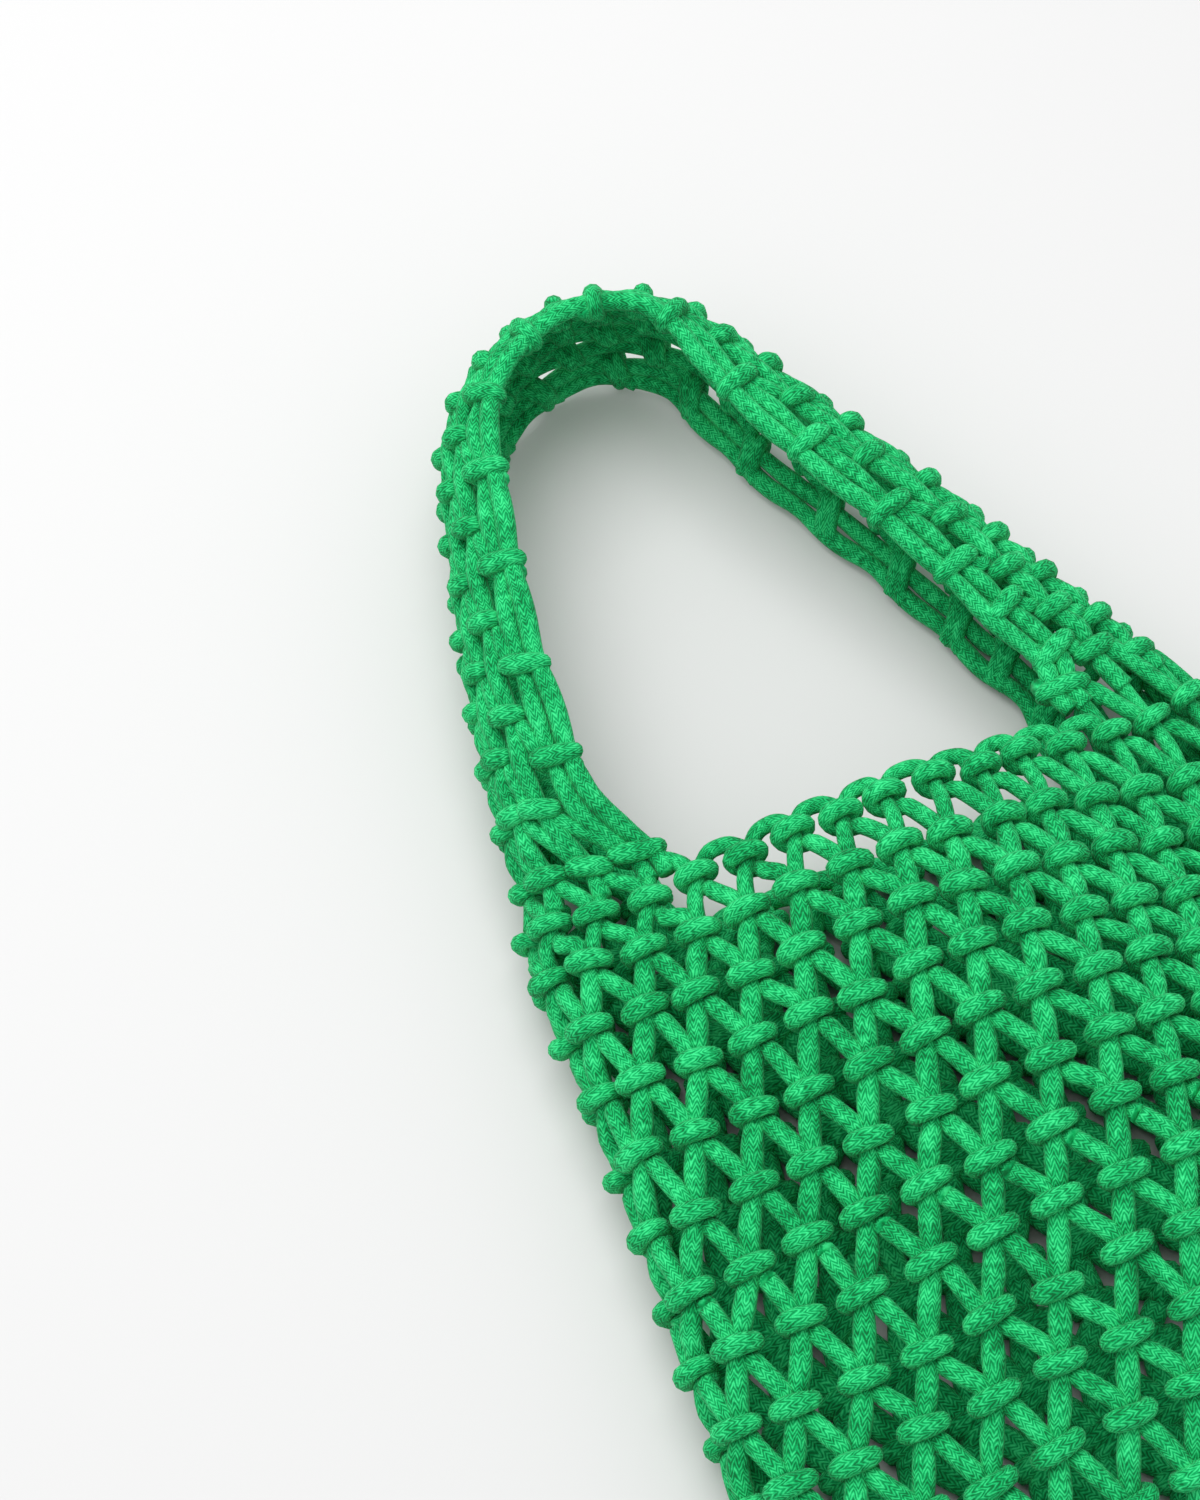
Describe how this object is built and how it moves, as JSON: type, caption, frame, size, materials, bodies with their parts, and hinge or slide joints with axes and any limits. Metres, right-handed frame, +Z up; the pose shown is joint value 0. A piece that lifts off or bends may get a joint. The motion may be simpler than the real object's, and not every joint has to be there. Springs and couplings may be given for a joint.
{
  "type": "tote bag",
  "caption": "Soft tote bag knotted as an open net from thick green cotton cord, with one wide netted shoulder strap, lying flat on its back.",
  "frame": {"origin": "centre of the bounding box in plan, on the surface the bag lies on", "axes": "+X across the bag's width, +Y from the base towards the strap, +Z up from the surface the bag lies on, out of its front"},
  "size_m": [0.3336, 0.4694, 0.0749],
  "materials": {
    "cotton_cord": "matt braided cotton cord"
  },
  "bodies": {
    "root": {"body_net": "cotton_cord", "strap_net": "cotton_cord", "front_mouth_cord": "cotton_cord", "back_mouth_cord": "cotton_cord"}
  },
  "joints": []
}
